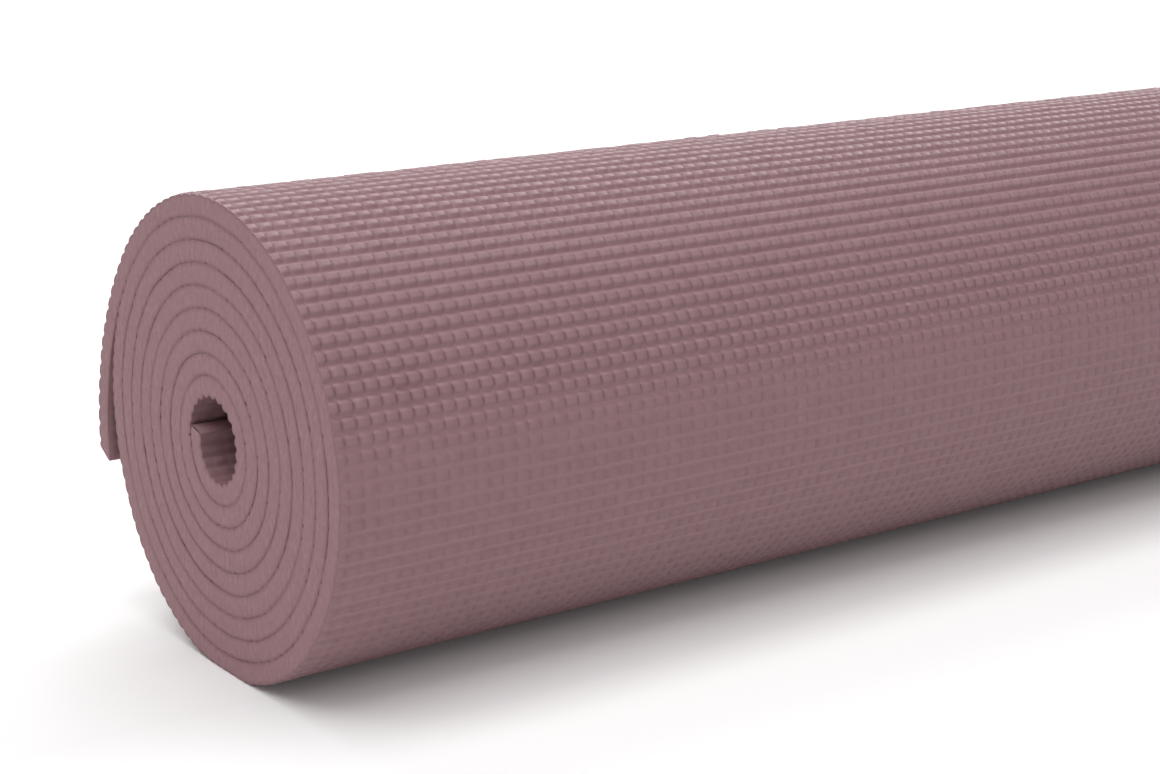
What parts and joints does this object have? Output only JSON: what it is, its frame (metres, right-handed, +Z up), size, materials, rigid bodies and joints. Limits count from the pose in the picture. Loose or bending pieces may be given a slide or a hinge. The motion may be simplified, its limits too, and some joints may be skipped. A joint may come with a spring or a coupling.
{
  "type": "yoga mat",
  "caption": "Ribbed foam yoga mat rolled round an open eye and lying on its side; its last turn folds out flat.",
  "frame": {"origin": "centre of the bounding box's underside, on the surface that the roll lies on", "axes": "+X along the roll, away from the end that the picture shows; +Y towards the side where the sheet's free end hangs; +Z up"},
  "size_m": [0.61, 0.1096, 0.102],
  "materials": {
    "foam": "matt foamed vinyl, dusty mauve, moulded all over in a grid of small pads",
    "scrim": "open plain-woven polyester, undyed"
  },
  "bodies": {
    "roll": {"roll_outer_foam": "foam", "roll_scrim": "scrim", "roll_inner_foam": "foam"},
    "wrap_01": {"wrap_01_outer_foam": "foam", "wrap_01_scrim": "scrim", "wrap_01_inner_foam": "foam"},
    "wrap_02": {"wrap_02_outer_foam": "foam", "wrap_02_scrim": "scrim", "wrap_02_inner_foam": "foam"},
    "wrap_03": {"wrap_03_outer_foam": "foam", "wrap_03_scrim": "scrim", "wrap_03_inner_foam": "foam"},
    "wrap_04": {"wrap_04_outer_foam": "foam", "wrap_04_scrim": "scrim", "wrap_04_inner_foam": "foam"},
    "wrap_05": {"wrap_05_outer_foam": "foam", "wrap_05_scrim": "scrim", "wrap_05_inner_foam": "foam"},
    "wrap_06": {"wrap_06_outer_foam": "foam", "wrap_06_scrim": "scrim", "wrap_06_inner_foam": "foam"},
    "wrap_07": {"wrap_07_outer_foam": "foam", "wrap_07_scrim": "scrim", "wrap_07_inner_foam": "foam"},
    "wrap_08": {"wrap_08_outer_foam": "foam", "wrap_08_scrim": "scrim", "wrap_08_inner_foam": "foam"},
    "wrap_09": {"wrap_09_outer_foam": "foam", "wrap_09_scrim": "scrim", "wrap_09_inner_foam": "foam"},
    "wrap_10": {"wrap_10_outer_foam": "foam", "wrap_10_scrim": "scrim", "wrap_10_inner_foam": "foam"},
    "wrap_11": {"wrap_11_outer_foam": "foam", "wrap_11_scrim": "scrim", "wrap_11_inner_foam": "foam"},
    "wrap_12": {"wrap_12_outer_foam": "foam", "wrap_12_scrim": "scrim", "wrap_12_inner_foam": "foam"},
    "wrap_13": {"wrap_13_outer_foam": "foam", "wrap_13_scrim": "scrim", "wrap_13_inner_foam": "foam"},
    "wrap_14": {"wrap_14_outer_foam": "foam", "wrap_14_scrim": "scrim", "wrap_14_inner_foam": "foam"},
    "wrap_15": {"wrap_15_outer_foam": "foam", "wrap_15_scrim": "scrim", "wrap_15_inner_foam": "foam"},
    "wrap_16": {"wrap_16_outer_foam": "foam", "wrap_16_scrim": "scrim", "wrap_16_inner_foam": "foam"},
    "wrap_17": {"wrap_17_outer_foam": "foam", "wrap_17_scrim": "scrim", "wrap_17_inner_foam": "foam"},
    "wrap_18": {"wrap_18_outer_foam": "foam", "wrap_18_scrim": "scrim", "wrap_18_inner_foam": "foam"}
  },
  "joints": [
    {"name": "wrap_01_hinge", "type": "hinge", "parent": "roll", "child": "wrap_01", "pos_m": [0, -0.01026, -0.00019], "axis": [1, 0, 0], "range_deg": [0, 14.11]},
    {"name": "wrap_02_hinge", "type": "hinge", "parent": "wrap_01", "child": "wrap_02", "pos_m": [0, -0.02304, 0.00302], "axis": [1, 0, 0], "range_deg": [0, 15]},
    {"name": "wrap_03_hinge", "type": "hinge", "parent": "wrap_02", "child": "wrap_03", "pos_m": [0, -0.03459, 0.00945], "axis": [1, 0, 0], "range_deg": [0, 15]},
    {"name": "wrap_04_hinge", "type": "hinge", "parent": "wrap_03", "child": "wrap_04", "pos_m": [0, -0.04412, 0.01869], "axis": [1, 0, 0], "range_deg": [0, 15]},
    {"name": "wrap_05_hinge", "type": "hinge", "parent": "wrap_04", "child": "wrap_05", "pos_m": [0, -0.05097, 0.03013], "axis": [1, 0, 0], "range_deg": [0, 15]},
    {"name": "wrap_06_hinge", "type": "hinge", "parent": "wrap_05", "child": "wrap_06", "pos_m": [0, -0.05463, 0.043], "axis": [1, 0, 0], "range_deg": [0, 15]},
    {"name": "wrap_07_hinge", "type": "hinge", "parent": "wrap_06", "child": "wrap_07", "pos_m": [0, -0.05483, 0.05643], "axis": [1, 0, 0], "range_deg": [0, 15]},
    {"name": "wrap_08_hinge", "type": "hinge", "parent": "wrap_07", "child": "wrap_08", "pos_m": [0, -0.05154, 0.06951], "axis": [1, 0, 0], "range_deg": [0, 15]},
    {"name": "wrap_09_hinge", "type": "hinge", "parent": "wrap_08", "child": "wrap_09", "pos_m": [0, -0.04495, 0.08133], "axis": [1, 0, 0], "range_deg": [0, 15]},
    {"name": "wrap_10_hinge", "type": "hinge", "parent": "wrap_09", "child": "wrap_10", "pos_m": [0, -0.03549, 0.09108], "axis": [1, 0, 0], "range_deg": [0, 15]},
    {"name": "wrap_11_hinge", "type": "hinge", "parent": "wrap_10", "child": "wrap_11", "pos_m": [0, -0.02378, 0.09808], "axis": [1, 0, 0], "range_deg": [0, 15]},
    {"name": "wrap_12_hinge", "type": "hinge", "parent": "wrap_11", "child": "wrap_12", "pos_m": [0, -0.01061, 0.10182], "axis": [1, 0, 0], "range_deg": [0, 15]},
    {"name": "wrap_13_hinge", "type": "hinge", "parent": "wrap_12", "child": "wrap_13", "pos_m": [0, 0.00313, 0.10202], "axis": [1, 0, 0], "range_deg": [0, 15]},
    {"name": "wrap_14_hinge", "type": "hinge", "parent": "wrap_13", "child": "wrap_14", "pos_m": [0, 0.0165, 0.09865], "axis": [1, 0, 0], "range_deg": [0, 15]},
    {"name": "wrap_15_hinge", "type": "hinge", "parent": "wrap_14", "child": "wrap_15", "pos_m": [0, 0.02859, 0.09191], "axis": [1, 0, 0], "range_deg": [0, 14.64]},
    {"name": "wrap_16_hinge", "type": "hinge", "parent": "wrap_15", "child": "wrap_16", "pos_m": [0, 0.03858, 0.08234], "axis": [1, 0, 0], "range_deg": [0, 11.36]},
    {"name": "wrap_17_hinge", "type": "hinge", "parent": "wrap_16", "child": "wrap_17", "pos_m": [0, 0.04659, 0.07083], "axis": [1, 0, 0], "range_deg": [0, 12.1]},
    {"name": "wrap_18_hinge", "type": "hinge", "parent": "wrap_17", "child": "wrap_18", "pos_m": [0, 0.05221, 0.05743], "axis": [1, 0, 0], "range_deg": [0, 12.91]}
  ],
  "couplings": [
    {"joint": "wrap_02_hinge", "follows": "wrap_01_hinge", "ratio": 1.0635},
    {"joint": "wrap_03_hinge", "follows": "wrap_01_hinge", "ratio": 1.0635},
    {"joint": "wrap_04_hinge", "follows": "wrap_01_hinge", "ratio": 1.0635},
    {"joint": "wrap_05_hinge", "follows": "wrap_01_hinge", "ratio": 1.0635},
    {"joint": "wrap_06_hinge", "follows": "wrap_01_hinge", "ratio": 1.0635},
    {"joint": "wrap_07_hinge", "follows": "wrap_01_hinge", "ratio": 1.0635},
    {"joint": "wrap_08_hinge", "follows": "wrap_01_hinge", "ratio": 1.0635},
    {"joint": "wrap_09_hinge", "follows": "wrap_01_hinge", "ratio": 1.0635},
    {"joint": "wrap_10_hinge", "follows": "wrap_01_hinge", "ratio": 1.0635},
    {"joint": "wrap_11_hinge", "follows": "wrap_01_hinge", "ratio": 1.0635},
    {"joint": "wrap_12_hinge", "follows": "wrap_01_hinge", "ratio": 1.0635},
    {"joint": "wrap_13_hinge", "follows": "wrap_01_hinge", "ratio": 1.0635},
    {"joint": "wrap_14_hinge", "follows": "wrap_01_hinge", "ratio": 1.0635},
    {"joint": "wrap_15_hinge", "follows": "wrap_01_hinge", "ratio": 1.0374},
    {"joint": "wrap_16_hinge", "follows": "wrap_01_hinge", "ratio": 0.80514},
    {"joint": "wrap_17_hinge", "follows": "wrap_01_hinge", "ratio": 0.85768},
    {"joint": "wrap_18_hinge", "follows": "wrap_01_hinge", "ratio": 0.91545}
  ]
}
